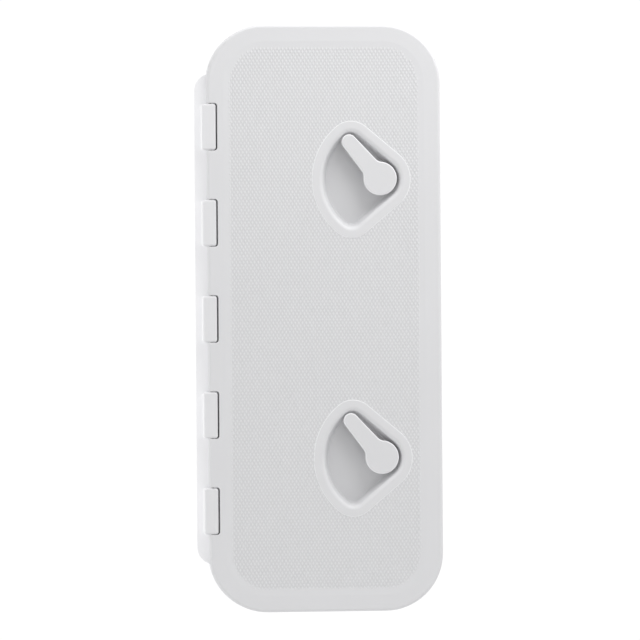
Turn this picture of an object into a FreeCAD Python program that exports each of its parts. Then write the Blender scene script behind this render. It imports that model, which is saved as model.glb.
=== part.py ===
import FreeCAD, Part
import Sketcher
import math
import os

Vector = FreeCAD.Vector

SIZES = {
    "lid_width": 243,
    "lid_height": 607,
    "lid_corner": 60,
    "lid_front": 20,
    "lid_panel": 3.5,
    "lid_edge_round": 3,
    "skirt_wall": 3,
    "skirt_gap": 2,
    "flange_thick": 4,
    "flange_reach": 37.5,
    "flange_edge_round": 1.5,
    "coaming_wall": 7,
    "coaming_height": 7,
    "groove_width": 4,
    "groove_depth": 2.5,
    "ledge_width": 9,
    "collar_wall": 3,
    "collar_depth": 25,
    "gasket_height": 5.2,
    "gasket_side_gap": 0.1,
    "seal_rib_wall": 3,
    "seal_rib_gap": 0.3,
    "axis_inset": 3.3,
    "axis_depth": 4.3,
    "rod_radius": 1.6,
    "rod_gap": 0.05,
    "rod_end_gap": 1,
    "knuckle_length": 47.6,
    "knuckle_end_gap": 0.8,
    "knuckle_side_gap": 1.4,
    "knuckle_half": 6,
    "knuckle_foot": 8.4,
    "knuckle_corner": 2.5,
    "knuckle_round": 2,
    "notch_round": 0.8,
    "strip_reach": 11.4,
    "strip_edge": 3,
    "strip_height": 12.3,
    "strip_inset": 49.5,
    "strip_corner": 18,
    "strip_wall": 3,
    "core_pitch": 48,
    "strip_end_gap": 2,
    "finger_wall": 3,
    "finger_inset": 63.5,
    "finger_end": 17.8,
    "panel_inset": 25,
    "panel_depth": 0.5,
    "panel_slope": 8,
    "band_width": 10,
    "latch_inset": 63,
    "latch_up": 144.3,
    "cup_radius": 60.8,
    "cup_side_share": 0.358,
    "cup_side_angle": 40,
    "cup_apex_share": 0.383,
    "cup_corner_share": 0.214,
    "cup_drop": 0.8,
    "cup_depth": 18,
    "cup_draft": 4.5,
    "cup_floor_shift": 1,
    "cup_wall": 3,
    "cup_rim_round": 4.5,
    "cup_floor_round": 1.5,
    "boss_radius": 11,
    "boss_height": 2,
    "spindle_radius": 6,
    "spindle_gap": 0.06,
    "handle_head_gap": 4.45,
    "handle_tip": 7.7,
    "handle_tip_gap": 3.1,
    "handle_taper": 3.4,
    "handle_blend": 10,
    "handle_thick": 5,
    "handle_drop": 0.5,
    "handle_round": 1.5,
    "handle_angle": 130.2,
    "hub_radius": 13,
    "hub_gap": 0.4,
    "washer_outer": 10,
    "washer_thick": 1,
    "washer_gap": 0.1,
    "drive_half": 4,
    "drive_gap": 0.06,
    "cam_hub": 10,
    "cam_tip": 7,
    "cam_reach": 25,
    "cam_thick": 5,
    "cam_angle": 100,
    "catch_length": 34,
    "catch_gap": 1.5,
    "screw_head": 4.8,
    "screw_head_height": 3,
    "screw_shank": 2,
    "screw_length": 14,
    "screw_gap": 0.05,
    "rib_wall": 2.5,
    "rib_height": 5,
    "rib_margin": 4,
    "rib_pitch": 143.5,
    "rib_outer_up": 215.25,
    "rib_left": 52,
    "rib_step": 34,
    "cut_past": 1,
    "sunk": 0.5,
    "hole_radius": 2.2,
    "hole_sink": 4.2,
    "hole_sink_depth": 2,
    "hole_inset": 18,
    "hole_end_across": 50,
    "hole_up_inner": 75,
    "hole_up_outer": 215,
    "hole_end_inset": 18.5,
}

doc = FreeCAD.newDocument("AccessHatch")
sheet = doc.addObject("Spreadsheet::Sheet", "Sizes")
for row, (alias, number) in enumerate(SIZES.items(), start=1):
    sheet.set(f"A{row}", alias)
    sheet.set(f"B{row}", str(number))
    sheet.setAlias(f"B{row}", alias)
doc.recompute()


def named(text):
    """Returns the expression with every size's name led by the sheet's name."""
    out = []
    word = ""
    for letter in text + " ":
        if letter.isalnum() or letter == "_":
            word += letter
            continue
        out.append(f"Sizes.{word}" if word in SIZES else word)
        out.append(letter)
        word = ""
    return "".join(out).strip()


def value(text):
    """Works out an expression of sizes now, as a plain number."""
    found = sheet.evalExpression(named(text))
    return float(getattr(found, "Value", found))


AXIS_X = "(lid_width / 2 - axis_inset)"
AXIS_F = "(lid_front - axis_depth)"
NOTCH_X = "(lid_width / 2 - axis_inset - knuckle_half - knuckle_side_gap)"
LID_BACK = "(lid_front - lid_panel)"
SKIRT_F = "(flange_thick + skirt_gap)"
COAMING_F = "(flange_thick + coaming_height)"
GASKET_F = f"({COAMING_F} - groove_depth + gasket_height)"
FLOOR_F = "(lid_front - cup_depth)"
BOSS_F = f"({FLOOR_F} - cup_wall - boss_height)"
CAM_F = f"({BOSS_F} - washer_gap - washer_thick)"
STRIP_X = "(lid_width / 2 + strip_reach)"
STRIP_LENGTH = "(lid_height - 2 * strip_inset)"
FINGER_LENGTH = "(lid_height - 2 * finger_inset)"
KNUCKLE_SPAN = f"({FINGER_LENGTH} - knuckle_length - 2 * finger_end)"
KNUCKLES = 5
CORES = 10
CORE_SPAN = f"({CORES - 1} * core_pitch)"
RISE = "(strip_height - strip_edge) / (strip_reach + axis_inset + knuckle_half)"
LATCH_X = "(lid_width / 2 - latch_inset)"
CUP_SIDE = "(cup_radius * cup_side_share)"
CUP_APEX = "(cup_radius * cup_apex_share)"
CUP_CORNER = "(cup_radius * cup_corner_share)"
HANDLE_HEAD = f"({CUP_SIDE} - handle_head_gap)"
HANDLE_REACH = "(cup_radius - handle_tip_gap - handle_tip)"
HOLE_X = "(lid_width / 2 - hole_inset)"


class Piece:
    """One body of the document: sketches on its planes, and the features made from them."""

    def __init__(self, label):
        self.body = doc.addObject("PartDesign::Body", label.title().replace("_", ""))
        self.body.Label = label
        self.count = 0

    def plane(self, role):
        for item in self.body.Origin.OriginFeatures:
            if item.Role == role:
                return item
        raise ValueError(role)

    def sketch(self, role="XZ_Plane", up="0", across="0", along="0", angle="0"):
        """A sketch on an origin plane, moved along its normal (up) and in its plane."""
        self.count += 1
        sketch = self.body.newObject("Sketcher::SketchObject", f"{self.body.Name}Sketch{self.count}")
        sketch.AttachmentSupport = [(self.plane(role), "")]
        sketch.MapMode = "FlatFace"
        turn = FreeCAD.Rotation(Vector(0, 0, 1), value(angle))
        sketch.AttachmentOffset = FreeCAD.Placement(Vector(value(across), value(along), value(up)), turn)
        for path, text in (("Base.x", across), ("Base.y", along), ("Base.z", up), ("Rotation.Angle", angle)):
            if text != "0":
                sketch.setExpression(f".AttachmentOffset.{path}", named(text))
        return sketch

    def feature(self, kind, profile, length=None, **settings):
        self.count += 1
        feature = self.body.newObject(f"PartDesign::{kind}", f"{self.body.Name}{kind}{self.count}")
        feature.Profile = profile
        for name, setting in settings.items():
            setattr(feature, name, setting)
        if length is not None:
            feature.Length = value(length)
            feature.setExpression("Length", named(length))
        doc.recompute()
        return feature

    def pad(self, profile, length, **settings):
        return self.feature("Pad", profile, length, **settings)

    def pocket(self, profile, length, **settings):
        return self.feature("Pocket", profile, length, **settings)

    def through(self, profile):
        return self.feature("Pocket", profile, Type="ThroughAll", SideType="Symmetric")

    def loft(self, kind, first, last):
        self.count += 1
        feature = self.body.newObject(f"PartDesign::{kind}Loft", f"{self.body.Name}Loft{self.count}")
        feature.Profile = first
        feature.Sections = [last]
        feature.Ruled = True
        doc.recompute()
        return feature

    def row(self, original, role, count, length):
        """Repeats a feature along one of the body's axes."""
        self.count += 1
        row = self.body.newObject("PartDesign::LinearPattern", f"{self.body.Name}Row{self.count}")
        row.Originals = [original]
        row.Direction = (self.plane(role), [""])
        row.Occurrences = count
        row.Length = value(length)
        row.setExpression("Length", named(length))
        self.body.Tip = row
        doc.recompute()
        return row

    def round(self, radius, test):
        """Rounds every edge of the piece so far that passes the test."""
        base = self.body.Tip
        names = [f"Edge{n}" for n, edge in enumerate(base.Shape.Edges, start=1) if test(edge)]
        if not names:
            raise RuntimeError(f"{self.body.Label}: no edge to round")
        self.count += 1
        fillet = self.body.newObject("PartDesign::Fillet", f"{self.body.Name}Round{self.count}")
        fillet.Base = (base, names)
        fillet.Radius = value(radius)
        fillet.setExpression("Radius", named(radius))
        doc.recompute()
        return fillet


def offset(sketch, first, second, axis, text):
    """Holds a point at a distance from another along the sketch's X or Y."""
    number = value(text)
    if number >= 0:
        index = sketch.addConstraint(Sketcher.Constraint(f"Distance{axis}", *first, *second, number))
        expression = named(text)
    else:
        index = sketch.addConstraint(Sketcher.Constraint(f"Distance{axis}", *second, *first, -number))
        expression = f"-({named(text)})"
    bind(sketch, index, expression)


def bind(sketch, index, expression):
    name = f"size_{index}"
    sketch.renameConstraint(index, name)
    sketch.setExpression(f"Constraints.{name}", expression)


def hold(sketch, kind, items, text):
    number = value(text)
    if kind == "Angle":
        number = math.radians(number)
    index = sketch.addConstraint(Sketcher.Constraint(kind, *items, number))
    bind(sketch, index, f"({named(text)}) * 1 deg" if kind == "Angle" else named(text))


ORIGIN = (-1, 1)
TOUCH = 1e-4


def arc_about(centre, radius, start, end):
    circle = Part.Circle(Vector(*centre, 0), Vector(0, 0, 1), radius)
    return Part.ArcOfCircle(circle, math.radians(start), math.radians(end))


def line_between(first, last):
    return Part.LineSegment(Vector(*first, 0), Vector(*last, 0))


def rounded_rectangle(sketch, half_width, half_height, radius):
    """Draws a rectangle with four equal round corners, centred on the sketch."""
    w = value(half_width)
    h = value(half_height)
    r = value(radius)
    shapes = [
        line_between((w, r - h), (w, h - r)),
        arc_about((w - r, h - r), r, 0, 90),
        line_between((w - r, h), (r - w, h)),
        arc_about((r - w, h - r), r, 90, 180),
        line_between((-w, h - r), (-w, r - h)),
        arc_about((r - w, r - h), r, 180, 270),
        line_between((r - w, -h), (w - r, -h)),
        arc_about((w - r, r - h), r, 270, 360),
    ]
    ids = [sketch.addGeometry(shape, False) for shape in shapes]
    for here, there in zip(ids, ids[1:] + ids[:1]):
        sketch.addConstraint(Sketcher.Constraint("Tangent", here, 2, there, 1))
    for place, kind in ((0, "Vertical"), (2, "Horizontal"), (4, "Vertical"), (6, "Horizontal")):
        sketch.addConstraint(Sketcher.Constraint(kind, ids[place]))
    for place in (3, 5, 7):
        sketch.addConstraint(Sketcher.Constraint("Equal", ids[1], ids[place]))
    hold(sketch, "Radius", (ids[1],), radius)
    offset(sketch, ORIGIN, (ids[0], 1), "X", half_width)
    offset(sketch, (ids[4], 1), ORIGIN, "X", half_width)
    offset(sketch, ORIGIN, (ids[2], 1), "Y", half_height)
    offset(sketch, (ids[6], 1), ORIGIN, "Y", half_height)


def inset_outline(sketch, inset):
    """Draws the lid's outline, moved inwards by a distance."""
    rounded_rectangle(
        sketch,
        f"lid_width / 2 - ({inset})",
        f"lid_height / 2 - ({inset})",
        f"lid_corner - ({inset})",
    )


def polygon(sketch, corners):
    """Draws a closed outline of straight lines, each corner held by two expressions."""
    points = [(value(x), value(y)) for x, y in corners]
    pairs = list(zip(points, points[1:] + points[:1]))
    ids = [sketch.addGeometry(line_between(a, b), False) for a, b in pairs]
    for here, there in zip(ids, ids[1:] + ids[:1]):
        sketch.addConstraint(Sketcher.Constraint("Coincident", here, 2, there, 1))
    for line, (x, y) in zip(ids, corners):
        for axis, text in (("X", x), ("Y", y)):
            if text == "0":
                rail = -2 if axis == "X" else -1
                sketch.addConstraint(Sketcher.Constraint("PointOnObject", line, 1, rail))
            else:
                offset(sketch, ORIGIN, (line, 1), axis, text)


def rectangle(sketch, left, right, bottom, top):
    polygon(sketch, [(left, bottom), (right, bottom), (right, top), (left, top)])


def circle(sketch, radius, x="0", y="0"):
    shape = Part.Circle(Vector(value(x), value(y), 0), Vector(0, 0, 1), value(radius))
    index = sketch.addGeometry(shape, False)
    hold(sketch, "Radius", (index,), radius)
    for axis, text in (("X", x), ("Y", y)):
        if text == "0":
            rail = -2 if axis == "X" else -1
            sketch.addConstraint(Sketcher.Constraint("PointOnObject", index, 3, rail))
        else:
            offset(sketch, ORIGIN, (index, 3), axis, text)


def fan(sketch, inset, x="0", y="0"):
    """Draws the latch cup's outline about the spindle, moved inwards by a distance."""
    cx = value(x)
    cy = value(y)
    big = value(f"cup_radius - ({inset})")
    side = value(f"{CUP_SIDE} - ({inset})")
    corner = value(f"{CUP_CORNER} - ({inset})")
    apex = value(f"{CUP_APEX} - ({inset})")
    lean = math.radians(90 - value("cup_side_angle"))
    normal = (math.cos(lean), math.sin(lean))
    centre = (side - apex) / normal[0]
    apex_end = (centre + apex * normal[0], apex * normal[1])
    reach = big - corner
    spread = lean + math.acos((side - corner) / reach)
    bend = (reach * math.cos(spread), reach * math.sin(spread))
    bend_start = (bend[0] + corner * normal[0], bend[1] + corner * normal[1])
    lean_deg = math.degrees(lean)
    spread_deg = math.degrees(spread)

    def at(point):
        return (cx + point[0], cy + point[1])

    def mirrored(point):
        return (cx + point[0], cy - point[1])

    shapes = [
        arc_about((cx + centre, cy), apex, -lean_deg, lean_deg),
        line_between(at(apex_end), at(bend_start)),
        arc_about(at(bend), corner, lean_deg, spread_deg),
        arc_about((cx, cy), big, spread_deg, 360 - spread_deg),
        arc_about(mirrored(bend), corner, 360 - spread_deg, 360 - lean_deg),
        line_between(mirrored(bend_start), mirrored(apex_end)),
    ]
    ids = [sketch.addGeometry(shape, False) for shape in shapes]
    for here, there in zip(ids, ids[1:] + ids[:1]):
        sketch.addConstraint(Sketcher.Constraint("Tangent", here, 2, there, 1))
    hub = (ids[3], 3)
    if x == "0" and y == "0":
        sketch.addConstraint(Sketcher.Constraint("Coincident", *hub, *ORIGIN))
    else:
        offset(sketch, ORIGIN, hub, "X", x)
        offset(sketch, ORIGIN, hub, "Y", y)
    hold(sketch, "Radius", (ids[3],), f"cup_radius - ({inset})")
    hold(sketch, "Radius", (ids[0],), f"{CUP_APEX} - ({inset})")
    hold(sketch, "Radius", (ids[2],), f"{CUP_CORNER} - ({inset})")
    sketch.addConstraint(Sketcher.Constraint("Equal", ids[2], ids[4]))
    hold(sketch, "Distance", (*hub, ids[1]), f"{CUP_SIDE} - ({inset})")
    hold(sketch, "Distance", (*hub, ids[5]), f"{CUP_SIDE} - ({inset})")
    hold(sketch, "Angle", (ids[1],), "180 - cup_side_angle")
    hold(sketch, "Angle", (ids[5],), "cup_side_angle")


def lever(sketch):
    """Draws the handle from above: round head, tapered arm along X, round tip."""
    head = value(HANDLE_HEAD)
    tip = value("handle_tip")
    reach = value(HANDLE_REACH)
    blend = value("handle_blend")
    taper = math.radians(value("handle_taper"))
    normal = (math.sin(taper), math.cos(taper))
    tip_end = (reach + tip * normal[0], tip * normal[1])
    level = tip + reach * normal[0]
    gap = level + blend
    along = math.sqrt((head + blend) ** 2 - gap ** 2)
    tangent = (normal[1], -normal[0])
    bend = (gap * normal[0] + along * tangent[0], gap * normal[1] + along * tangent[1])
    arm_end = (bend[0] - blend * normal[0], bend[1] - blend * normal[1])
    toward = math.degrees(math.atan2(bend[1], bend[0]))
    upper = 90 - math.degrees(taper)

    def low(point):
        return (point[0], -point[1])

    shapes = [
        arc_about((0, 0), head, toward, 360 - toward),
        arc_about(low(bend), blend, upper, 180 - toward),
        line_between(low(arm_end), low(tip_end)),
        arc_about((reach, 0), tip, -upper, upper),
        line_between(tip_end, arm_end),
        arc_about(bend, blend, 180 + toward, 360 - upper),
    ]
    ids = [sketch.addGeometry(shape, False) for shape in shapes]
    joins = [(0, 2, 1, 2), (1, 1, 2, 1), (2, 2, 3, 1), (3, 2, 4, 1), (4, 2, 5, 2), (5, 1, 0, 1)]
    for here, end, there, start in joins:
        sketch.addConstraint(Sketcher.Constraint("Tangent", ids[here], end, ids[there], start))
    sketch.addConstraint(Sketcher.Constraint("Coincident", ids[0], 3, *ORIGIN))
    sketch.addConstraint(Sketcher.Constraint("PointOnObject", ids[3], 3, -1))
    sketch.addConstraint(Sketcher.Constraint("Equal", ids[1], ids[5]))
    offset(sketch, ORIGIN, (ids[3], 3), "X", HANDLE_REACH)
    hold(sketch, "Radius", (ids[0],), HANDLE_HEAD)
    hold(sketch, "Radius", (ids[3],), "handle_tip")
    hold(sketch, "Radius", (ids[1],), "handle_blend")
    hold(sketch, "Angle", (ids[2],), "handle_taper")
    hold(sketch, "Angle", (ids[4],), "180 - handle_taper")


def tongue(sketch):
    """Draws the cam from above: hub, straight tangent sides along X, smaller round tip."""
    hub = value("cam_hub")
    tip = value("cam_tip")
    reach = value("cam_reach")
    lean = math.acos((hub - tip) / reach)
    normal = (math.cos(lean), math.sin(lean))
    angle = math.degrees(lean)
    first = (hub * normal[0], hub * normal[1])
    last = (reach + tip * normal[0], tip * normal[1])
    shapes = [
        arc_about((0, 0), hub, angle, 360 - angle),
        line_between((first[0], -first[1]), (last[0], -last[1])),
        arc_about((reach, 0), tip, -angle, angle),
        line_between(last, first),
    ]
    ids = [sketch.addGeometry(shape, False) for shape in shapes]
    for here, there in zip(ids, ids[1:] + ids[:1]):
        sketch.addConstraint(Sketcher.Constraint("Tangent", here, 2, there, 1))
    sketch.addConstraint(Sketcher.Constraint("Coincident", ids[0], 3, *ORIGIN))
    sketch.addConstraint(Sketcher.Constraint("PointOnObject", ids[2], 3, -1))
    offset(sketch, ORIGIN, (ids[2], 3), "X", "cam_reach")
    hold(sketch, "Radius", (ids[0],), "cam_hub")
    hold(sketch, "Radius", (ids[2],), "cam_tip")


def level(edge, f):
    """True for an edge that lies wholly at a distance f in front of the wall."""
    box = edge.BoundBox
    return abs(box.YMin + f) < TOUCH and abs(box.YMax + f) < TOUCH


def on_rim(edge):
    """True for an edge whose middle lies on or inside a latch cup's rim."""
    spot = edge.valueAt((edge.FirstParameter + edge.LastParameter) / 2)
    x = spot.x - value(LATCH_X)
    z = abs(abs(spot.z + value("cup_drop")) - value("latch_up"))
    lean = math.radians(90 - value("cup_side_angle"))
    apex = value(CUP_APEX)
    centre = (value(CUP_SIDE) - apex) / math.cos(lean)
    slack = value("band_width") / 2
    past_side = x * math.cos(lean) + z * math.sin(lean) - value(CUP_SIDE)
    past_arc = math.hypot(x, z) - value("cup_radius")
    past_apex = math.hypot(x - centre, z) - apex if x > 0 else 0
    return max(past_side, past_arc, past_apex) < slack


def on_notch(edge):
    """True for an edge of the lid's front that lies on a knuckle's notch."""
    flat_from = value("lid_edge_round - lid_width / 2")
    return flat_from + TOUCH < edge.BoundBox.XMax < TOUCH - value(NOTCH_X)


def strip_plan(sketch):
    """The hinge strip seen from the front, with round corners on its outer side."""
    half = f"{STRIP_LENGTH} / 2"
    left = value(STRIP_X)
    edge = value(f"{AXIS_X} - knuckle_half")
    high = value(half)
    r = value("strip_corner")
    shapes = [
        line_between((r - left, -high), (-edge, -high)),
        line_between((-edge, -high), (-edge, high)),
        line_between((-edge, high), (r - left, high)),
        arc_about((r - left, high - r), r, 90, 180),
        line_between((-left, high - r), (-left, r - high)),
        arc_about((r - left, r - high), r, 180, 270),
    ]
    ids = [sketch.addGeometry(shape, False) for shape in shapes]
    for here, there, kind in ((0, 1, 0), (1, 2, 0), (2, 3, 1), (3, 4, 1), (4, 5, 1), (5, 0, 1)):
        name = "Tangent" if kind else "Coincident"
        sketch.addConstraint(Sketcher.Constraint(name, ids[here], 2, ids[there], 1))
    for place, kind in ((0, "Horizontal"), (1, "Vertical"), (2, "Horizontal"), (4, "Vertical")):
        sketch.addConstraint(Sketcher.Constraint(kind, ids[place]))
    sketch.addConstraint(Sketcher.Constraint("Equal", ids[3], ids[5]))
    hold(sketch, "Radius", (ids[3],), "strip_corner")
    offset(sketch, (ids[4], 1), ORIGIN, "X", STRIP_X)
    offset(sketch, (ids[1], 1), ORIGIN, "X", f"{AXIS_X} - knuckle_half")
    offset(sketch, ORIGIN, (ids[2], 1), "Y", half)
    offset(sketch, (ids[0], 1), ORIGIN, "Y", half)


def add_hinge_strip(frame):
    plan = frame.sketch()
    strip_plan(plan)
    frame.pad(plan, "strip_height")
    slope = frame.sketch("XY_Plane")
    over = "strip_height + lid_front"
    polygon(slope, [
        (f"-{STRIP_X} - cut_past", "-strip_edge"),
        (f"-{STRIP_X}", "-strip_edge"),
        (f"-{AXIS_X} + knuckle_half", "-strip_height"),
        (f"-{AXIS_X} + knuckle_half", f"-({over})"),
        (f"-{STRIP_X} - cut_past", f"-({over})"),
    ])
    frame.through(slope)
    knuckle = frame.sketch(
        up="strip_wall",
        across=f"-{AXIS_X} + (knuckle_half - knuckle_foot) / 2",
        along=f"-{KNUCKLE_SPAN} / 2",
    )
    rounded_rectangle(knuckle, "(knuckle_half + knuckle_foot) / 2", "knuckle_length / 2", "knuckle_corner")
    first = frame.pad(knuckle, "lid_front - strip_wall")
    frame.row(first, "Z_Axis", KNUCKLES, KNUCKLE_SPAN)
    frame.round("knuckle_round", lambda edge: level(edge, value("lid_front")))


def add_collar(frame):
    """The raised coaming with its seal groove, the collar in the wall and the latches' catches."""
    coaming = frame.sketch()
    inset_outline(coaming, "flange_reach - coaming_wall")
    frame.pad(coaming, COAMING_F)
    collar = frame.sketch()
    inset_outline(collar, "flange_reach - ledge_width - collar_wall")
    frame.pad(collar, "collar_depth", Reversed=True)
    inside = frame.sketch(up="-collar_depth")
    inset_outline(inside, "flange_reach - ledge_width")
    frame.pocket(inside, "collar_depth", Reversed=True)
    for sign in (1, -1):
        catch = frame.sketch()
        middle = "latch_up" if sign > 0 else "-latch_up"
        rectangle(
            catch,
            "lid_width / 2 - flange_reach - cut_past",
            "lid_width / 2 - flange_reach + ledge_width + cut_past",
            f"{middle} - catch_length / 2",
            f"{middle} + catch_length / 2",
        )
        frame.pad(catch, f"-{CAM_F} - catch_gap", Reversed=True)
    opening = frame.sketch()
    inset_outline(opening, "flange_reach")
    frame.through(opening)
    groove = frame.sketch(up=COAMING_F)
    inset_outline(groove, "flange_reach - (coaming_wall + groove_width) / 2")
    inset_outline(groove, "flange_reach - (coaming_wall - groove_width) / 2")
    frame.pocket(groove, "groove_depth")


def core_strip(frame):
    """Cores the hinge strip out from behind to an even wall, and bores it for the rod."""
    core_left = f"{STRIP_X} - strip_wall"
    core_right = f"{AXIS_X} - knuckle_half + strip_wall"
    core = frame.sketch("XY_Plane", up=f"-{CORE_SPAN} / 2")
    polygon(core, [
        (f"-({core_left})", "cut_past"),
        (f"-({core_left})", f"-(strip_edge + {RISE} * strip_wall - strip_wall)"),
        (f"-({core_right})", f"-(strip_height - {RISE} * strip_wall - strip_wall)"),
        (f"-({core_right})", "cut_past"),
    ])
    first = frame.feature("Pocket", core, "core_pitch - strip_wall", SideType="Symmetric")
    frame.row(first, "Z_Axis", CORES, CORE_SPAN)
    bore = frame.sketch("XY_Plane")
    circle(bore, "rod_radius + rod_gap", f"-{AXIS_X}", f"-{AXIS_F}")
    frame.through(bore)


def add_screw_holes(frame):
    places = []
    for across in (HOLE_X, f"-{HOLE_X}"):
        for up in ("hole_up_inner", "-hole_up_inner", "hole_up_outer", "-hole_up_outer"):
            places.append((across, up))
    for across in ("hole_end_across", "-hole_end_across"):
        for up in ("lid_height / 2 - hole_end_inset", "hole_end_inset - lid_height / 2"):
            places.append((across, up))
    holes = frame.sketch()
    for across, up in places:
        circle(holes, "hole_radius", across, up)
    frame.through(holes)
    sinks = frame.sketch(up="flange_thick")
    for across, up in places:
        circle(sinks, "hole_sink", across, up)
    sink = frame.pocket(sinks, "hole_sink_depth")
    sink.setExpression("TaperAngle", named("-atan((hole_sink - hole_radius) / hole_sink_depth)"))
    doc.recompute()


def make_frame():
    frame = Piece("frame")
    outline = frame.sketch()
    inset_outline(outline, "0")
    frame.pad(outline, "flange_thick")
    frame.round("flange_edge_round", lambda edge: level(edge, value("flange_thick")))
    add_hinge_strip(frame)
    add_collar(frame)
    core_strip(frame)
    add_screw_holes(frame)
    return frame.body


def make_gasket():
    gasket = Piece("gasket")
    ring = gasket.sketch(up=f"{COAMING_F} - groove_depth")
    inset_outline(ring, "flange_reach - (coaming_wall + groove_width) / 2 + gasket_side_gap")
    inset_outline(ring, "flange_reach - (coaming_wall - groove_width) / 2 - gasket_side_gap")
    gasket.pad(ring, "gasket_height")
    gasket.round("groove_width / 2 - gasket_side_gap - sunk", lambda edge: level(edge, value(GASKET_F)))
    return gasket.body


def add_shell(lid):
    """The lid's skin with its skirt, open at the hinge side for the strip."""
    outline = lid.sketch(up=SKIRT_F)
    inset_outline(outline, "0")
    lid.pad(outline, f"lid_front - {SKIRT_F}")
    lid.round("lid_edge_round", lambda edge: level(edge, value("lid_front")))
    inside = lid.sketch(up=SKIRT_F)
    inset_outline(inside, "skirt_wall")
    lid.pocket(inside, f"{LID_BACK} - {SKIRT_F}", Reversed=True)
    relief = lid.sketch(up=SKIRT_F)
    rectangle(
        relief,
        "-lid_width / 2 - cut_past",
        f"-{NOTCH_X} + finger_wall",
        f"-{STRIP_LENGTH} / 2 - strip_end_gap",
        f"{STRIP_LENGTH} / 2 + strip_end_gap",
    )
    lid.pocket(relief, f"{LID_BACK} - {SKIRT_F}", Reversed=True)


def add_fingers(lid):
    """The fingers that the rod goes through, with notches for the frame's knuckles."""
    bar = lid.sketch("XY_Plane")
    rectangle(bar, "-lid_width / 2", f"-{NOTCH_X} + finger_wall", f"-{LID_BACK} - sunk", f"-{AXIS_F}")
    lid.pad(bar, FINGER_LENGTH, SideType="Symmetric")
    barrel = lid.sketch("XY_Plane")
    circle(barrel, "axis_inset", f"-{AXIS_X}", f"-{AXIS_F}")
    lid.pad(barrel, FINGER_LENGTH, SideType="Symmetric")
    notch = lid.sketch(across="-lid_width / 2", along=f"-{KNUCKLE_SPAN} / 2")
    rounded_rectangle(notch, f"lid_width / 2 - {NOTCH_X}", "knuckle_length / 2 + knuckle_end_gap",
                      "knuckle_corner + knuckle_end_gap")
    cut = lid.through(notch)
    lid.row(cut, "Z_Axis", KNUCKLES, KNUCKLE_SPAN)
    lid.round("notch_round", lambda edge: level(edge, value("lid_front")) and on_notch(edge))


def add_ribs(lid):
    """The ring that presses on the gasket and the stiffening ribs behind the skin."""
    rib = lid.sketch(up=f"{GASKET_F} + seal_rib_gap")
    inset_outline(rib, "flange_reach - (coaming_wall + seal_rib_wall) / 2")
    inset_outline(rib, "flange_reach - (coaming_wall - seal_rib_wall) / 2")
    lid.pad(rib, f"{LID_BACK} - {GASKET_F} - seal_rib_gap + sunk")
    reach_x = "lid_width / 2 - flange_reach - rib_margin"
    reach_z = "lid_height / 2 - flange_reach - rib_margin"
    cross = lid.sketch(up=f"{LID_BACK} - rib_height", along="-rib_outer_up")
    rectangle(cross, f"-({reach_x})", reach_x, "-rib_wall / 2", "rib_wall / 2")
    first = lid.pad(cross, "rib_height + sunk")
    lid.row(first, "Z_Axis", 4, "2 * rib_outer_up")
    upright = lid.sketch(up=f"{LID_BACK} - rib_height", across="-rib_left")
    rectangle(upright, "-rib_wall / 2", "rib_wall / 2", f"-({reach_z})", reach_z)
    first = lid.pad(upright, "rib_height + sunk")
    lid.row(first, "X_Axis", 2, "rib_step")


def add_panel(lid):
    """The shallow grip panel, with a level band left standing round each latch cup."""
    panel_rim = lid.sketch(up="lid_front")
    inset_outline(panel_rim, "panel_inset - panel_slope")
    panel_floor = lid.sketch(up="lid_front - panel_depth")
    inset_outline(panel_floor, "panel_inset")
    lid.loft("Subtractive", panel_rim, panel_floor)
    bands = lid.sketch(up="lid_front - panel_depth - sunk")
    fan(bands, "-band_width", LATCH_X, "latch_up - cup_drop")
    fan(bands, "-band_width", LATCH_X, "-latch_up - cup_drop")
    lid.pad(bands, "panel_depth + sunk")


def add_cups(lid):
    """The two latch cups, with a boss and a bore in each floor for the spindle."""
    for sign in ("latch_up", "-latch_up"):
        middle = f"{sign} - cup_drop"
        outer_top = lid.sketch(up="lid_front - panel_depth - sunk", across=LATCH_X, along=middle)
        fan(outer_top, "-cup_wall")
        outer_low = lid.sketch(
            up=f"{FLOOR_F} - cup_wall", across=f"{LATCH_X} + cup_floor_shift", along=middle)
        fan(outer_low, "cup_draft - cup_wall")
        lid.loft("Additive", outer_top, outer_low)
    for sign in ("latch_up", "-latch_up"):
        middle = f"{sign} - cup_drop"
        inner_top = lid.sketch(up="lid_front", across=LATCH_X, along=middle)
        fan(inner_top, "0")
        inner_low = lid.sketch(up=FLOOR_F, across=f"{LATCH_X} + cup_floor_shift", along=middle)
        fan(inner_low, "cup_draft")
        lid.loft("Subtractive", inner_top, inner_low)
    lid.round("cup_floor_round", lambda edge: level(edge, value(FLOOR_F)))
    lid.round("cup_rim_round", lambda edge: level(edge, value("lid_front")) and on_rim(edge))
    for sign in ("latch_up", "-latch_up"):
        boss = lid.sketch(up=BOSS_F, across=LATCH_X, along=sign)
        circle(boss, "boss_radius")
        lid.pad(boss, "boss_height + sunk")
    bores = lid.sketch()
    circle(bores, "spindle_radius + spindle_gap", LATCH_X, "latch_up")
    circle(bores, "spindle_radius + spindle_gap", LATCH_X, "-latch_up")
    lid.through(bores)


def make_lid():
    lid = Piece("lid")
    add_shell(lid)
    add_fingers(lid)
    add_ribs(lid)
    add_panel(lid)
    add_cups(lid)
    bore = lid.sketch("XY_Plane")
    circle(bore, "rod_radius + rod_gap", f"-{AXIS_X}", f"-{AXIS_F}")
    lid.through(bore)
    return lid.body


def make_rod():
    rod = Piece("hinge_rod")
    round_bar = rod.sketch("XY_Plane")
    circle(round_bar, "rod_radius", f"-{AXIS_X}", f"-{AXIS_F}")
    rod.pad(round_bar, f"{FINGER_LENGTH} - 2 * rod_end_gap", SideType="Symmetric")
    return rod.body


def place(body, up):
    body.setExpression("Placement.Base.x", named(LATCH_X))
    body.setExpression("Placement.Base.z", named(up))


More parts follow.
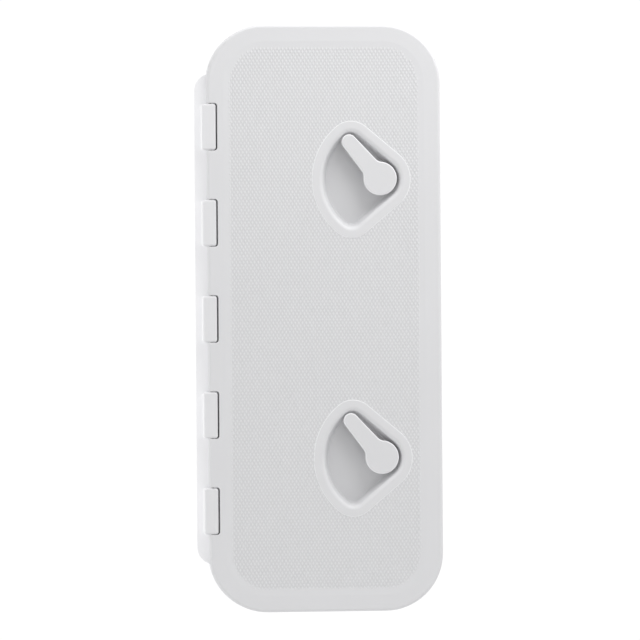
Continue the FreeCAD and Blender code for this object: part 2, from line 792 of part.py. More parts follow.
def make_handle(label, up):
    handle = Piece(label)
    top = handle.sketch(up="lid_front - handle_drop - handle_thick", angle="handle_angle")
    lever(top)
    handle.pad(top, "handle_thick")
    hub = handle.sketch(up=f"{FLOOR_F} + hub_gap")
    circle(hub, "hub_radius")
    handle.pad(hub, f"lid_front - handle_drop - {FLOOR_F} - hub_gap - cut_past")
    handle.round("handle_round", lambda edge: level(edge, value("lid_front - handle_drop")))
    spindle = handle.sketch(up=f"{CAM_F} + drive_gap")
    circle(spindle, "spindle_radius")
    handle.pad(spindle, f"{FLOOR_F} + hub_gap + cut_past - {CAM_F} - drive_gap")
    drive = handle.sketch(up=f"{CAM_F} - cam_thick + drive_gap", angle="-cam_angle")
    rectangle(drive, "-drive_half", "drive_half", "-drive_half", "drive_half")
    handle.pad(drive, "cam_thick")
    hole = handle.sketch(up=f"{CAM_F} - cam_thick - cut_past")
    circle(hole, "screw_shank + screw_gap")
    handle.pocket(hole, "screw_length + 2 * cut_past", Reversed=True)
    place(handle.body, up)
    return handle.body


def make_cam(label, up):
    cam = Piece(label)
    plan = cam.sketch(up=f"{CAM_F} - cam_thick", angle="-cam_angle")
    tongue(plan)
    cam.pad(plan, "cam_thick")
    drive = cam.sketch(up=CAM_F, angle="-cam_angle")
    half = "drive_half + drive_gap"
    rectangle(drive, f"-({half})", half, f"-({half})", half)
    cam.through(drive)
    place(cam.body, up)
    return cam.body


def make_washer(label, up):
    washer = Piece(label)
    ring = washer.sketch(up=CAM_F)
    circle(ring, "washer_outer")
    circle(ring, "spindle_radius + spindle_gap")
    washer.pad(ring, "washer_thick")
    place(washer.body, up)
    return washer.body


def make_screw(label, up):
    screw = Piece(label)
    head = screw.sketch(up=f"{CAM_F} - cam_thick - screw_head_height")
    circle(head, "screw_head")
    screw.pad(head, "screw_head_height")
    shank = screw.sketch(up=f"{CAM_F} - cam_thick - sunk")
    circle(shank, "screw_shank")
    screw.pad(shank, "screw_length")
    place(screw.body, up)
    return screw.body


bodies = [make_frame(), make_gasket(), make_rod(), make_lid()]
for side, up in (("upper", "latch_up"), ("lower", "-latch_up")):
    bodies.append(make_handle(f"handle_{side}", up))
    bodies.append(make_cam(f"cam_{side}", up))
    bodies.append(make_washer(f"cam_washer_{side}", up))
    bodies.append(make_screw(f"cam_screw_{side}", up))
doc.recompute()

for item in doc.Objects:
    bad = [state for state in item.State if state in ("Invalid", "Error")]
    if bad:
        raise RuntimeError(f"{item.Label}: {bad}")
for body in bodies:
    if body.Shape.isNull() or not body.Shape.isValid() or len(body.Shape.Solids) != 1:
        raise RuntimeError(f"{body.Label}: not one valid solid")

os.makedirs("parts", exist_ok=True)
for body in bodies:
    body.Shape.exportStep(f"parts/{body.Label}.step")
    box = body.Shape.BoundBox
    print(body.Label, [round(n, 1) for n in (box.XMin, box.XMax, box.YMin, box.YMax, box.ZMin, box.ZMax)],
          round(body.Shape.Volume / 1000, 1))
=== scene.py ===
"""Finishes, grip pattern, beads, screws and studio for a moulded access hatch.

The hatch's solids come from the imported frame. This script dresses them, and adds what is too fine
for them.
"""
import math

import bmesh
import bpy
from bpy.props import FloatProperty, FloatVectorProperty, PointerProperty
from mathutils import Matrix, Vector
from mathutils.bvhtree import BVHTree


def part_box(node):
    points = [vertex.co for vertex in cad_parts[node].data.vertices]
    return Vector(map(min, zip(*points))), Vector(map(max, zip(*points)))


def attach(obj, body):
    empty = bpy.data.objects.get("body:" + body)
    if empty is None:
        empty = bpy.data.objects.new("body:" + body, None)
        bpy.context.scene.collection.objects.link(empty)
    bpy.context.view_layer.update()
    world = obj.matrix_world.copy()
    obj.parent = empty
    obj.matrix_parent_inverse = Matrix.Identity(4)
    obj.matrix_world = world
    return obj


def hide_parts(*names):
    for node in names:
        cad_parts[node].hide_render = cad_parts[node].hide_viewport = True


bl_info = {
    "name": "Access Hatch Dressing",
    "version": (1, 0, 0),
    "blender": (4, 5, 0),
    "location": "View3D > Sidebar > Hatch",
    "description": "Dresses a moulded access hatch: finishes, grip pattern, beads, screws and studio",
    "category": "Object",
}

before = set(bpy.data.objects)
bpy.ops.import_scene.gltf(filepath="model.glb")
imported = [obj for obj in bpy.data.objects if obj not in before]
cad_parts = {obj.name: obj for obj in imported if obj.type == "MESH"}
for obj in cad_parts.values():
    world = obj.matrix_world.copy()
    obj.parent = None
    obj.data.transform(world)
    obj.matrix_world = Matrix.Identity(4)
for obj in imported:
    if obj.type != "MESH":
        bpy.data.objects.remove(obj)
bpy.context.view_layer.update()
LID_LOW, LID_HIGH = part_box("lid")
MM = 0.001
SIDES = ("upper", "lower")
QUARTER_TURN = math.radians(90)

# How the lid's flat panel floor is told from the rest of the lid, and from how far in front.
SAME_LEVEL = 0.02 * MM
FACING = 0.999
AHEAD = 10.0 * MM

# Points and lines closer than this count as one.
WELD = 0.001 * MM

# A hair under one half, so that neighbouring diamonds stay apart.
HALF_CELL = 0.498

# How far a bead stays behind the lid's front.
BEAD_CLEARANCE = 0.03 * MM

# The moulded plastic's clouding, grain and gloss.
CLOUD_SCALE = 14.0
CLOUD_SHARES = (0.985, 1.015)
GRAIN_SCALE = 2600.0
GRAIN_DEPTH = 0.05 * MM
GLOSS_SCALE = 320.0
GLOSS_SPREAD = 0.10
PLASTIC_IOR = 1.48

# Part of a band of depths with a painted highlight over which the plastic's white changes, at each
# end.
BAND_EDGE = 0.15

# A screw head's rings from the recess to the seat, as shares of its radius and its height.
HEAD_RINGS = ((0.66, 1.0), (0.84, 0.93), (0.95, 0.78), (1.0, 0.5), (1.0, 0.0))
HEAD_SEGMENTS = 48
SHANK_SEGMENTS = 32
RECESS_TAPER = 0.6

# The studio's floor, lights and world.
FLOOR_RADIUS = 3.0
FLOOR_DROP = 0.25
KEY_PLACE = (0.55, -0.55, 1.2)
KEY_SIZE = 1.2
HINGE_SIDE_PLACE = (-2.4, -0.3, 0.3)
HINGE_SIDE_SIZE = 1.6
ROOM_TO_SURROUND = (-0.45, 0.05)
SURROUND_TO_BACKDROP = (0.80, 0.95)


class GripSettings(bpy.types.PropertyGroup):
    """The lid's pattern of small raised diamonds."""

    across: FloatProperty(
        name="Diamond Width",
        description="Distance from one diamond to the next in a row",
        default=3.8 * MM,
        unit="LENGTH",
    )
    upright: FloatProperty(
        name="Diamond Height",
        description="Distance from one row of diamonds to the next row in line with it",
        default=6.3 * MM,
        unit="LENGTH",
    )
    rise: FloatProperty(
        name="Rise",
        description="How far a diamond's top stands above its foot",
        default=0.38 * MM,
        unit="LENGTH",
    )
    sunk: FloatProperty(
        name="Sunk",
        description="How far the outer edge of a diamond's flare goes into the lid's panel",
        default=0.01 * MM,
        unit="LENGTH",
    )
    flare: FloatProperty(
        name="Flare",
        description="How far a diamond's foot, inside its flare, stands out of the lid's panel",
        default=0.03 * MM,
        unit="LENGTH",
    )
    crown: FloatProperty(
        name="Crown",
        description="Size of a diamond's flat top as a share of its foot",
        default=0.30,
        subtype="FACTOR",
    )
    foot: FloatProperty(
        name="Foot",
        description="Size of a diamond's foot, inside its flare, as a share of the room it has",
        default=0.78,
        subtype="FACTOR",
    )
    recess: FloatProperty(
        name="Panel Recess",
        description="Depth of the panel behind the lid's border",
        default=0.5 * MM,
        unit="LENGTH",
    )
    bead: FloatProperty(
        name="Bead Radius",
        description="Radius of the fine bead round a cup's plain border",
        default=0.9 * MM,
        unit="LENGTH",
    )


class ScrewSettings(bpy.types.PropertyGroup):
    """The screws that hold the latches' cams."""

    head_height: FloatProperty(
        name="Head Height",
        description="Height of a screw's head above the cam",
        default=3.0 * MM,
        unit="LENGTH",
    )
    shank: FloatProperty(
        name="Shank Radius",
        description="Radius of a screw's shank",
        default=2.0 * MM,
        unit="LENGTH",
    )
    recess_reach: FloatProperty(
        name="Recess Reach",
        description="From the middle of the cross recess to the end of an arm",
        default=2.3 * MM,
        unit="LENGTH",
    )
    recess_width: FloatProperty(
        name="Recess Width",
        description="Width of an arm of the cross recess",
        default=1.1 * MM,
        unit="LENGTH",
    )
    recess_depth: FloatProperty(
        name="Recess Depth",
        description="Depth of the cross recess",
        default=1.7 * MM,
        unit="LENGTH",
    )


class FinishSettings(bpy.types.PropertyGroup):
    """Colours and gloss of the hatch's materials."""

    white: FloatVectorProperty(
        name="Plastic",
        description="Colour of the moulded plastic",
        default=(0.787, 0.787, 0.800),
        subtype="COLOR",
    )
    gloss: FloatProperty(
        name="Plastic Roughness",
        description="Roughness of the moulded plastic",
        default=0.46,
        subtype="FACTOR",
    )
    rubber: FloatVectorProperty(
        name="Rubber",
        description="Colour of the seal",
        default=(0.022, 0.022, 0.024),
        subtype="COLOR",
    )
    steel: FloatVectorProperty(
        name="Steel",
        description="Colour of the stainless steel",
        default=(0.58, 0.58, 0.57),
        subtype="COLOR",
    )


class StudioSettings(bpy.types.PropertyGroup):
    """The photograph's view and the light round the hatch."""

    distance: FloatProperty(
        name="Camera Distance",
        description="From the camera to the middle of the lid's front",
        default=5.85,
        unit="LENGTH",
    )
    yaw: FloatProperty(
        name="Yaw",
        description="How far the camera stands to the hinge side",
        default=math.radians(6.5),
        subtype="ANGLE",
    )
    roll: FloatProperty(
        name="Roll",
        description="How far the hatch leans to the left in the picture",
        default=math.radians(0.42),
        subtype="ANGLE",
    )
    lens: FloatProperty(
        name="Focal Length",
        description="Focal length on a full-frame sensor, in millimetres",
        default=318.2,
    )
    aim_across: FloatProperty(
        name="Aim Across",
        description="The picture's middle, right of the middle of the lid's front",
        default=-5.5 * MM,
        unit="LENGTH",
    )
    aim_up: FloatProperty(
        name="Aim Up",
        description="The picture's middle, above the middle of the lid's front",
        default=-1.8 * MM,
        unit="LENGTH",
    )
    ambient: FloatProperty(
        name="Room Light",
        description="Strength of the soft light from in front of the hatch",
        default=0.58,
    )
    surround: FloatProperty(
        name="Surround",
        description="Strength of the soft light from beside and behind the hatch",
        default=0.85,
    )
    backdrop: FloatProperty(
        name="Backdrop",
        description="Strength of the white wall straight behind the hatch",
        default=1.04,
    )
    key: FloatProperty(
        name="Key Light",
        description="Power of the large light above and to the right, in watts",
        default=13.0,
    )
    fill: FloatProperty(
        name="Hinge Side Light",
        description="Power of the light from the hinge side, in watts",
        default=9.0,
    )
    accent: FloatProperty(
        name="Hinge Strip Light",
        description="Power of the light that picks out the frame and its hinge strip alone, in watts",
        default=9.0,
    )


class Number:
    """A shader socket that holds a number and takes part in Python arithmetic."""

    def __init__(self, finish, socket):
        self.finish = finish
        self.socket = socket

    def maths(self, operation, first, second):
        return self.finish.node("ShaderNodeMath", {"operation": operation}, {0: first, 1: second})

    def __add__(self, other):
        return self.maths("ADD", self, other)

    __radd__ = __add__

    def __mul__(self, other):
        return self.maths("MULTIPLY", self, other)

    def __sub__(self, other):
        return self.maths("SUBTRACT", self, other)


class Nodes:
    """A node tree under construction."""

    def __init__(self, tree):
        self.tree = tree

    def node(self, kind, settings, sockets, output=0):
        """Adds a node, sets it up, feeds its sockets with values or links, and returns one output."""
        made = self.tree.nodes.new(kind)
        for name, setting in settings.items():
            setattr(made, name, setting)
        for key, fed in sockets.items():
            self.feed(made.inputs[key], fed)
        return Number(self, made.outputs[output])

    def feed(self, socket, fed):
        if isinstance(fed, Number):
            self.tree.links.new(fed.socket, socket)
        else:
            socket.default_value = fed


class Finish(Nodes):
    """A material under construction: one Principled shader and the nodes that feed it."""

    def __init__(self, name):
        self.material = bpy.data.materials.new(name)
        self.material.use_nodes = True
        super().__init__(self.material.node_tree)
        self.shader = self.tree.nodes["Principled BSDF"]
        self.place = self.node("ShaderNodeTexCoord", {}, {}, "Object")

    def surface(self, **sockets):
        """Feeds the Principled shader: base_color feeds Base Color, and so on."""
        for name, fed in sockets.items():
            self.feed(self.shader.inputs[name.replace("_", " ").title()], fed)

    def noise(self, scale, detail=2.0, place=None):
        sockets = {"Vector": place or self.place, "Scale": scale, "Detail": detail}
        return self.node("ShaderNodeTexNoise", {}, sockets, "Fac")

    def stretched(self, scale):
        return self.node("ShaderNodeMapping", {}, {"Vector": self.place, "Scale": scale})

    def depth(self):
        """How far back a point lies, along the wall's depth."""
        return self.node("ShaderNodeSeparateXYZ", {}, {"Vector": self.place}, "Y")

    def tint(self, factor, first, second):
        """A colour between two others."""
        ends = [end if isinstance(end, Number) else (*end, 1) for end in (first, second)]
        sockets = {0: factor, 6: ends[0], 7: ends[1]}
        return self.node("ShaderNodeMix", {"data_type": "RGBA"}, sockets, 2)

    def between(self, value, low, high):
        """1 well inside a span of values and 0 outside it."""
        soft = (high - low) * BAND_EDGE
        rise = {"Value": value, "From Min": low, "From Max": low + soft}
        fall = {"Value": value, "From Min": high - soft, "From Max": high}
        return self.node("ShaderNodeMapRange", {}, rise) - self.node("ShaderNodeMapRange", {}, fall)

    def bump(self, height, strength, depth):
        sockets = {"Height": height, "Strength": strength, "Distance": depth}
        return self.node("ShaderNodeBump", {}, sockets)

    def wear(self, *nodes):
        """Puts the finish on nodes of the frame or on new pieces."""
        for item in nodes:
            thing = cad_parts[item] if isinstance(item, str) else item
            thing.data.materials.clear()
            thing.data.materials.append(self.material)


def shade(colour, factor):
    return tuple(channel * factor for channel in colour)


def white_plastic(name, grain, tone=1.0, band=None, deep=None):
    """Satin white moulding: faint clouding, a fine eroded grain and slightly uneven gloss.

    grain is the strength of the fine grain, and tone the share of the settings' white. band holds two
    depths, and the share of the white between them: a painted highlight there. deep holds the depths
    where the white starts and stops to change with depth, and its share from there on: painted shade
    further back.
    """
    settings = bpy.context.scene.hatch_finish
    finish = Finish(name)
    white = shade(settings.white, tone)
    cloud = finish.noise(CLOUD_SCALE, detail=3.0)
    colour = finish.tint(cloud, *(shade(white, share) for share in CLOUD_SHARES))
    if band:
        low, high, share = band
        colour = finish.tint(finish.between(finish.depth(), low, high), colour, shade(white, share))
    if deep:
        start, stop, share = deep
        sockets = {"Value": finish.depth(), "From Min": start, "From Max": stop}
        back = finish.node("ShaderNodeMapRange", {}, sockets)
        colour = finish.tint(back, colour, shade(white, share))
    fine = finish.noise(GRAIN_SCALE)
    gloss = settings.gloss - GLOSS_SPREAD / 2 + finish.noise(GLOSS_SCALE, detail=3.0) * GLOSS_SPREAD
    finish.surface(base_color=colour, roughness=gloss, normal=finish.bump(fine, grain, GRAIN_DEPTH))
    finish.shader.inputs["IOR"].default_value = PLASTIC_IOR
    return finish


def seal_rubber():
    """Black rubber with a dull, slightly dusty skin."""
    settings = bpy.context.scene.hatch_finish
    finish = Finish("seal_rubber")
    dust = finish.noise(scale=60.0, detail=4.0)
    colour = finish.tint(dust, settings.rubber, shade(settings.rubber, 1.9))
    skin = finish.bump(finish.noise(scale=1800.0, detail=3.0), strength=0.25, depth=0.08 * MM)
    finish.surface(base_color=colour, roughness=0.62 + dust * 0.2, normal=skin)
    return finish


def stainless(name, along):
    """Drawn stainless steel, with fine lines along one axis."""
    settings = bpy.context.scene.hatch_finish
    finish = Finish(name)
    lines = finish.noise(scale=3000.0, place=finish.stretched(along))
    colour = finish.tint(lines, shade(settings.steel, 0.9), shade(settings.steel, 1.1))
    drawn = finish.bump(lines, strength=0.1, depth=0.02 * MM)
    finish.surface(base_color=colour, roughness=0.22 + lines * 0.16, normal=drawn)
    finish.shader.inputs["Metallic"].default_value = 1.0
    return finish


class HatchOperator:
    """What the hatch's operators share."""

    bl_options = {"REGISTER", "UNDO"}

    @staticmethod
    def piece(name, shape, body, slot):
        """Makes a mesh piece from a bmesh and lets it ride on a body of the frame."""
        mesh = bpy.data.meshes.new(name)
        shape.to_mesh(mesh)
        shape.free()
        thing = bpy.data.objects.new(name, mesh)
        bpy.context.collection.objects.link(thing)
        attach(thing, body)
        return thing


class HATCH_OT_mouldings(HatchOperator, bpy.types.Operator):
    """Gives the frame, lid, handles and cams their white plastic"""

    bl_idname = "hatch.mouldings"
    bl_label = "White Mouldings"

    def execute(self, context):
        wall = 0.0
        # From 2 mm behind the lid's front back to the wall's plane, over the hinge strip and its
        # knuckles, the frame's white is painted lighter: a painted highlight.
        strip = (LID_LOW.y + 2.0 * MM, wall, 1.18)
        white_plastic("frame_plastic", grain=0.16, tone=1.03, band=strip).wear("frame")
        # From 9 mm behind the lid's front the lid's white is painted darker, fully by 17.5 mm:
        # painted shade down in the latch cups.
        cups = (LID_LOW.y + 9.0 * MM, LID_LOW.y + 17.5 * MM, 0.92)
        white_plastic("lid_plastic", grain=0.16, deep=cups).wear("lid")
        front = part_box("handle_upper")[0].y
        # Over the first 1.4 mm behind the handles' front, their rounded front edge, the white is
        # painted lighter: a painted highlight.
        edge = (front + 0.01 * MM, front + 1.4 * MM, 1.24)
        handles = [f"handle_{side}" for side in SIDES]
        white_plastic("latch_plastic", grain=0.10, tone=0.99, band=edge).wear(*handles)
        cams = [f"cam_{side}" for side in SIDES]
        white_plastic("cam_plastic", grain=0.20).wear(*cams)
        return {"FINISHED"}


class HATCH_OT_seal_and_rod(HatchOperator, bpy.types.Operator):
    """Gives the gasket its rubber, and the hinge rod and washers their steel"""

    bl_idname = "hatch.seal_and_rod"
    bl_label = "Seal, Rod and Washers"

    def execute(self, context):
        seal_rubber().wear("gasket")
        steel = stainless("rod_steel", (1.0, 1.0, 0.02))
        steel.wear("hinge_rod", *(f"cam_washer_{side}" for side in SIDES))
        return {"FINISHED"}


def one_diamond(settings):
    """A low pyramid with a flat top and a flared foot on the XZ plane, its top towards -Y."""
    shape = bmesh.new()
    flat = bmesh.ops.create_circle(shape, cap_ends=True, segments=4, radius=HALF_CELL)
    bmesh.ops.scale(shape, vec=(settings.across, settings.upright, 1.0), verts=flat["verts"])
    bmesh.ops.rotate(shape, matrix=Matrix.Rotation(QUARTER_TURN, 3, "X"), verts=flat["verts"])
    top = shape.faces[:]
    steps = ((settings.foot, settings.sunk + settings.flare), (settings.crown, settings.rise))
    for share, height in steps:
        top = bmesh.ops.extrude_discrete_faces(shape, faces=top)["faces"]
        corners = top[0].verts[:]
        bmesh.ops.scale(shape, vec=(share, 1.0, share), verts=corners)
        bmesh.ops.translate(shape, vec=(0.0, -height, 0.0), verts=corners)
    bmesh.ops.holes_fill(shape, edges=shape.edges[:])
    bmesh.ops.recalc_face_normals(shape, faces=shape.faces[:])
    return shape


def two_diamonds(settings):
    """Two diamonds half a step apart both ways, which repeat to make the whole pattern."""
    shape = one_diamond(settings)
    copy = bmesh.ops.duplicate(shape, geom=shape.verts[:] + shape.edges[:] + shape.faces[:])
    moved = [item for item in copy["geom"] if isinstance(item, bmesh.types.BMVert)]
    bmesh.ops.translate(shape, vec=(settings.across / 2, 0.0, settings.upright / 2), verts=moved)
    return shape


def repeated(shape, counts, steps):
    """The mesh of a shape repeated along X and Z by array modifiers."""
    mesh = bpy.data.meshes.new("grip_seed")
    shape.to_mesh(mesh)
    shape.free()
    seed = bpy.data.objects.new("grip_seed", mesh)
    bpy.context.collection.objects.link(seed)
    for axis, count, step in zip((0, 2), counts, steps):
        row = seed.modifiers.new("row", "ARRAY")
        row.count = count
        row.use_relative_offset = False
        row.use_constant_offset = True
        row.constant_offset_displace = [step if axis == place else 0.0 for place in range(3)]
    whole = bpy.data.meshes.new_from_object(seed.evaluated_get(bpy.context.evaluated_depsgraph_get()))
    bpy.data.objects.remove(seed)
    bpy.data.meshes.remove(mesh)
    return whole


def lid_tree():
    """The lid's surface, for looking up what lies behind a point."""
    shape = bmesh.new()
    shape.from_mesh(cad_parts["lid"].data)
    tree = BVHTree.FromBMesh(shape)
    shape.free()
    return tree


class HATCH_OT_grip_panel(HatchOperator, bpy.types.Operator):
    """Covers the lid's recessed panel with small raised diamonds"""

    bl_idname = "hatch.grip_panel"
    bl_label = "Grip Panel"

    def execute(self, context):
        settings = context.scene.hatch_grip
        width = LID_HIGH.x - LID_LOW.x
        height = LID_HIGH.z - LID_LOW.z
        steps = (settings.across, settings.upright)
        counts = (int(width / settings.across), int(height / settings.upright))
        mesh = repeated(two_diamonds(settings), counts, steps)
        shape = bmesh.new()
        shape.from_mesh(mesh)
        floor = LID_LOW.y + settings.recess
        reach = [(count - 0.5) * step for count, step in zip(counts, steps)]
        corner = Vector((-reach[0] / 2, floor + settings.sunk, -reach[1] / 2))
        bmesh.ops.translate(shape, vec=corner, verts=shape.verts[:])
        tree = lid_tree()
        per_diamond = len(mesh.vertices) // (2 * counts[0] * counts[1])
        spare = []
        shape.verts.ensure_lookup_table()
        for first in range(0, len(shape.verts), per_diamond):
            group = shape.verts[first:first + per_diamond]
            if not any(self.on_panel(tree, vert.co, floor) for vert in group):
                spare.extend(group)
        bmesh.ops.delete(shape, geom=spare, context="VERTS")
        bpy.data.meshes.remove(mesh)
        panel = self.piece("grip_panel", shape, "lid", "white_plastic")
        # From seven tenths of a diamond's rise in front of the panel back to its foot, the white is
        # painted darker: painted shade between the diamonds.
        painted_valley_shade = (floor - settings.rise * 0.7, floor - settings.flare, 0.89)
        white_plastic("grip_plastic", grain=0.12, tone=1.03, deep=painted_valley_shade).wear(panel)
        return {"FINISHED"}

    @staticmethod
    def on_panel(tree, spot, floor):
        """True if the lid's panel floor lies straight behind a spot."""
        start = Vector((spot.x, LID_LOW.y - AHEAD, spot.z))
        hit, normal, _, _ = tree.ray_cast(start, Vector((0.0, 1.0, 0.0)))
        return hit is not None and abs(hit.y - floor) < SAME_LEVEL and abs(normal.y) > FACING


def joined_loops(edges):
    """Sorts edges into sets that hang together."""
    left = set(edges)
    while left:
        queue = [left.pop()]
        loop = set(queue)
        while queue:
            ends = queue.pop().verts
            near = {edge for vert in ends for edge in vert.link_edges if edge in left}
            left -= near
            loop |= near
            queue.extend(near)
        yield loop


class HATCH_OT_cup_beads(HatchOperator, bpy.types.Operator):
    """Runs a fine bead between the grip panel and the plain border of each latch cup"""

    bl_idname = "hatch.cup_beads"
    bl_label = "Cup Beads"

    def execute(self, context):
        settings = context.scene.hatch_grip
        shape = self.border_lines(LID_LOW.y + settings.recess)
        for vert in shape.verts:
            vert.co.y = LID_LOW.y + settings.bead + BEAD_CLEARANCE
        tube = self.tube(context, shape, settings.bead)
        shape = bmesh.new()
        shape.from_mesh(tube)
        bpy.data.meshes.remove(tube)
        bmesh.ops.remove_doubles(shape, verts=shape.verts[:], dist=WELD)
        bmesh.ops.recalc_face_normals(shape, faces=shape.faces[:])
        beads = self.piece("cup_beads", shape, "lid", "white_plastic")
        # The bead's white is painted a fifth lighter than the settings' white: a painted highlight
        # line round each cup's border.
        white_plastic("bead_painted_highlight", grain=0.12, tone=1.20).wear(beads)
        return {"FINISHED"}

    @staticmethod
    def border_lines(floor):
        """The lines where the lid's panel floor ends at a cup's border."""
        shape = bmesh.new()
        shape.from_mesh(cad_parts["lid"].data)
        bmesh.ops.remove_doubles(shape, verts=shape.verts[:], dist=WELD)
        panel = {face for face in shape.faces
                 if face.normal.y < -FACING and abs(face.calc_center_median().y - floor) < SAME_LEVEL}
        rim = [edge for edge in shape.edges if len(panel.intersection(edge.link_faces)) == 1]
        cups = set()
        for loop in joined_loops(rim):
            heights = [vert.co.z for edge in loop for vert in edge.verts]
            if min(heights) > 0.0 or max(heights) < 0.0:
                cups |= loop
        if not cups:
            raise RuntimeError("the lid's panel has no border round a cup")
        spare = [edge for edge in shape.edges if edge not in cups]
        bmesh.ops.delete(shape, geom=shape.faces[:], context="FACES_ONLY")
        bmesh.ops.delete(shape, geom=spare, context="EDGES")
        return shape

    @staticmethod
    def tube(context, shape, radius):
        """The mesh of a round tube along the shape's lines."""
        mesh = bpy.data.meshes.new("bead_path")
        shape.to_mesh(mesh)
        shape.free()
        path = bpy.data.objects.new("bead_path", mesh)
        context.collection.objects.link(path)
        bpy.ops.object.select_all(action="DESELECT")
        context.view_layer.objects.active = path
        path.select_set(True)
        bpy.ops.object.convert(target="CURVE")
        line = path.data
        line.bevel_depth = radius
        line.bevel_resolution = 2
        tube = bpy.data.meshes.new_from_object(path.evaluated_get(context.evaluated_depsgraph_get()))
        bpy.data.objects.remove(path)
        bpy.data.curves.remove(line)
        bpy.data.meshes.remove(mesh)
        return tube


def recessed_head(settings, radius):
    """A pan head with a cross recess, its seat on the XY plane and its top towards +Z."""
    shape = bmesh.new()
    made = bmesh.ops.create_grid(shape, x_segments=3, y_segments=3, size=settings.recess_reach)
    bmesh.ops.translate(shape, vec=(0.0, 0.0, settings.head_height), verts=made["verts"])
    for vert in made["verts"]:
        for axis in (0, 1):
            if abs(vert.co[axis]) < settings.recess_reach / 2:
                vert.co[axis] = math.copysign(settings.recess_width / 2, vert.co[axis])
    rim = [edge for edge in shape.edges if edge.is_boundary]
    cross = [face for face in shape.faces if min(map(abs, face.calc_center_median()[:2])) < WELD]
    whole = bmesh.ops.dissolve_faces(shape, faces=cross)["region"]
    floor = bmesh.ops.extrude_discrete_faces(shape, faces=whole)["faces"][0].verts[:]
    bmesh.ops.translate(shape, vec=(0.0, 0.0, -settings.recess_depth), verts=floor)
    bmesh.ops.scale(shape, vec=(RECESS_TAPER, RECESS_TAPER, 1.0), verts=floor)
    for reach, height in HEAD_RINGS:
        ring = bmesh.ops.create_circle(shape, segments=HEAD_SEGMENTS, radius=radius * reach)
        bmesh.ops.translate(shape, vec=(0.0, 0.0, settings.head_height * height), verts=ring["verts"])
        loop = list({edge for vert in ring["verts"] for edge in vert.link_edges})
        bmesh.ops.bridge_loops(shape, edges=rim + loop)
        rim = loop
    bmesh.ops.contextual_create(shape, geom=rim)
    return shape


class HATCH_OT_latch_screws(HatchOperator, bpy.types.Operator):
    """Puts a screw with a pan head and a cross recess through each latch's cam"""

    bl_idname = "hatch.latch_screws"
    bl_label = "Latch Screws"

    def execute(self, context):
        settings = context.scene.hatch_screw
        steel = stainless("screw_steel", (1.0, 0.02, 1.0))
        for side in SIDES:
            low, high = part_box(f"cam_screw_{side}")
            middle = (low + high) / 2
            shape = recessed_head(settings, (high.x - low.x) / 2)
            length = high.y - low.y - settings.head_height
            shank = bmesh.ops.create_cone(
                shape,
                cap_ends=True,
                segments=SHANK_SEGMENTS,
                radius1=settings.shank,
                radius2=settings.shank,
                depth=length,
            )
            bmesh.ops.translate(shape, vec=(0.0, 0.0, -length / 2), verts=shank["verts"])
            turn = Matrix.Rotation(-QUARTER_TURN, 3, "X")
            bmesh.ops.rotate(shape, matrix=turn, verts=shape.verts[:])
            seat = Vector((middle.x, high.y - settings.head_height, middle.z))
            bmesh.ops.translate(shape, vec=seat, verts=shape.verts[:])
            bmesh.ops.recalc_face_normals(shape, faces=shape.faces[:])
            screw = self.piece(f"latch_screw_{side}", shape, f"latch_{side}", "stainless")
            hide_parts(f"cam_screw_{side}")
            steel.wear(screw)
        return {"FINISHED"}


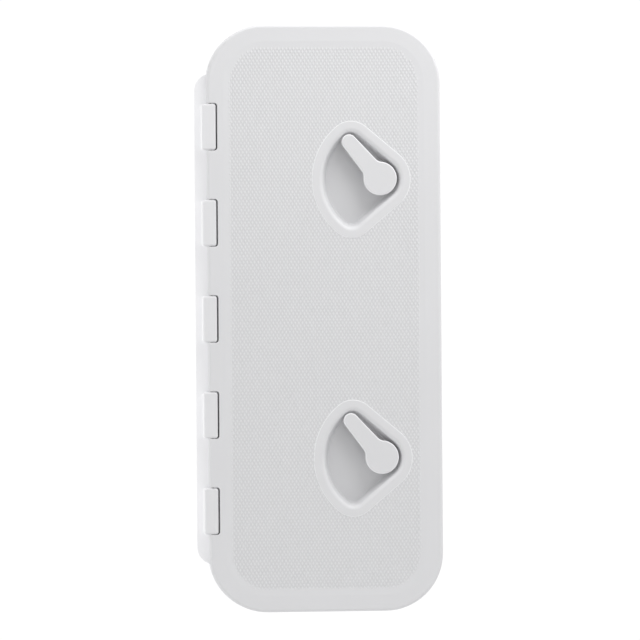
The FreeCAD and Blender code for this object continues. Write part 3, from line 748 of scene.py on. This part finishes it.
class HATCH_OT_stage(HatchOperator, bpy.types.Operator):
    """Sets up the floor, the light and the camera"""

    bl_idname = "hatch.stage"
    bl_label = "Studio"

    def execute(self, context):
        settings = context.scene.hatch_studio
        self.floor()
        self.ambient(context, settings)
        self.softbox("key_light", KEY_PLACE, KEY_SIZE, settings.key)
        self.softbox("hinge_side_light", HINGE_SIDE_PLACE, HINGE_SIDE_SIZE, settings.fill)
        accent = self.softbox("hinge_strip_light", HINGE_SIDE_PLACE, HINGE_SIDE_SIZE, settings.accent)
        accent.light_linking.receiver_collection = bpy.data.collections.new("hinge_strip")
        accent.light_linking.receiver_collection.objects.link(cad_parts["frame"])
        self.camera(context, settings)
        return {"FINISHED"}

    def floor(self):
        shape = bmesh.new()
        bmesh.ops.create_circle(shape, cap_ends=True, segments=96, radius=FLOOR_RADIUS)
        bmesh.ops.translate(shape, vec=(0.0, 0.0, LID_LOW.z - FLOOR_DROP), verts=shape.verts[:])
        mesh = bpy.data.meshes.new("floor")
        shape.to_mesh(mesh)
        shape.free()
        floor = bpy.data.objects.new("floor", mesh)
        bpy.context.collection.objects.link(floor)
        paper = Finish("floor_paper")
        tone = paper.tint(paper.noise(scale=3.0), (0.80, 0.80, 0.80), (0.83, 0.83, 0.83))
        paper.surface(base_color=tone)
        paper.shader.inputs["Roughness"].default_value = 0.9
        paper.wear(floor)

    @staticmethod
    def ambient(context, settings):
        world = bpy.data.worlds.new("studio_white")
        world.use_nodes = True
        sky = Nodes(world.node_tree)
        direction = sky.node("ShaderNodeTexCoord", {}, {}, "Generated")
        behind = sky.node("ShaderNodeSeparateXYZ", {}, {"Vector": direction}, "Y")

        def ramp(span, low, high):
            sockets = {"From Min": span[0], "From Max": span[1], "To Min": low, "To Max": high}
            smooth = {"interpolation_type": "SMOOTHSTEP"}
            return sky.node("ShaderNodeMapRange", smooth, {"Value": behind, **sockets})

        room = ramp(ROOM_TO_SURROUND, settings.ambient, settings.surround)
        strength = room + ramp(SURROUND_TO_BACKDROP, 0.0, settings.backdrop - settings.surround)
        white = world.node_tree.nodes["Background"]
        white.inputs["Color"].default_value = (1.0, 1.0, 1.0, 1.0)
        sky.feed(white.inputs["Strength"], strength)
        context.scene.world = world
        context.scene.view_settings.view_transform = "Standard"

    @staticmethod
    def softbox(name, place, size, power):
        light = bpy.data.lights.new(name, "AREA")
        light.size = size
        light.energy = power
        lamp = bpy.data.objects.new(name, light)
        bpy.context.collection.objects.link(lamp)
        lamp.location = place
        lamp.rotation_euler = (-Vector(place)).to_track_quat("-Z", "Y").to_euler()
        return lamp

    @staticmethod
    def camera(context, settings):
        front = Vector(((LID_LOW.x + LID_HIGH.x) / 2, LID_LOW.y, (LID_LOW.z + LID_HIGH.z) / 2))
        turn = Matrix.Rotation(-settings.yaw, 3, "Z")
        aim = front + turn @ Vector((settings.aim_across, 0.0, settings.aim_up))
        camera = bpy.data.objects.new("camera", bpy.data.cameras.new("camera"))
        bpy.context.collection.objects.link(camera)
        camera.data.lens = settings.lens
        camera.data.clip_end = 100.0
        camera.location = aim + turn @ Vector((0.0, -settings.distance, 0.0))
        upright = Matrix.Rotation(QUARTER_TURN, 3, "X")
        lean = Matrix.Rotation(-settings.roll, 3, "Z")
        camera.rotation_euler = (turn @ upright @ lean).to_euler()
        context.scene.camera = camera


class HATCH_PT_sidebar(bpy.types.Panel):
    """Lists the hatch's operators and settings"""

    bl_idname = "HATCH_PT_sidebar"
    bl_label = "Access Hatch"
    bl_space_type = "VIEW_3D"
    bl_region_type = "UI"
    bl_category = "Hatch"

    def draw(self, context):
        for operator in OPERATORS:
            self.layout.operator(operator.bl_idname)
        for name in SETTINGS:
            group = getattr(context.scene, name)
            for field in group.bl_rna.properties:
                if field.identifier not in ("rna_type", "name"):
                    self.layout.prop(group, field.identifier)


OPERATORS = (
    HATCH_OT_mouldings,
    HATCH_OT_seal_and_rod,
    HATCH_OT_grip_panel,
    HATCH_OT_cup_beads,
    HATCH_OT_latch_screws,
    HATCH_OT_stage,
)
SETTINGS = {
    "hatch_grip": GripSettings,
    "hatch_screw": ScrewSettings,
    "hatch_finish": FinishSettings,
    "hatch_studio": StudioSettings,
}
CLASSES = (*SETTINGS.values(), *OPERATORS, HATCH_PT_sidebar)


def register():
    for item in CLASSES:
        bpy.utils.register_class(item)
    for name, group in SETTINGS.items():
        setattr(bpy.types.Scene, name, PointerProperty(type=group))


def unregister():
    for name in SETTINGS:
        delattr(bpy.types.Scene, name)
    for item in reversed(CLASSES):
        bpy.utils.unregister_class(item)


def main():
    register()
    bpy.ops.hatch.mouldings()
    bpy.ops.hatch.seal_and_rod()
    bpy.ops.hatch.grip_panel()
    bpy.ops.hatch.cup_beads()
    bpy.ops.hatch.latch_screws()
    bpy.ops.hatch.stage()


if __name__ == "__main__":
    main()
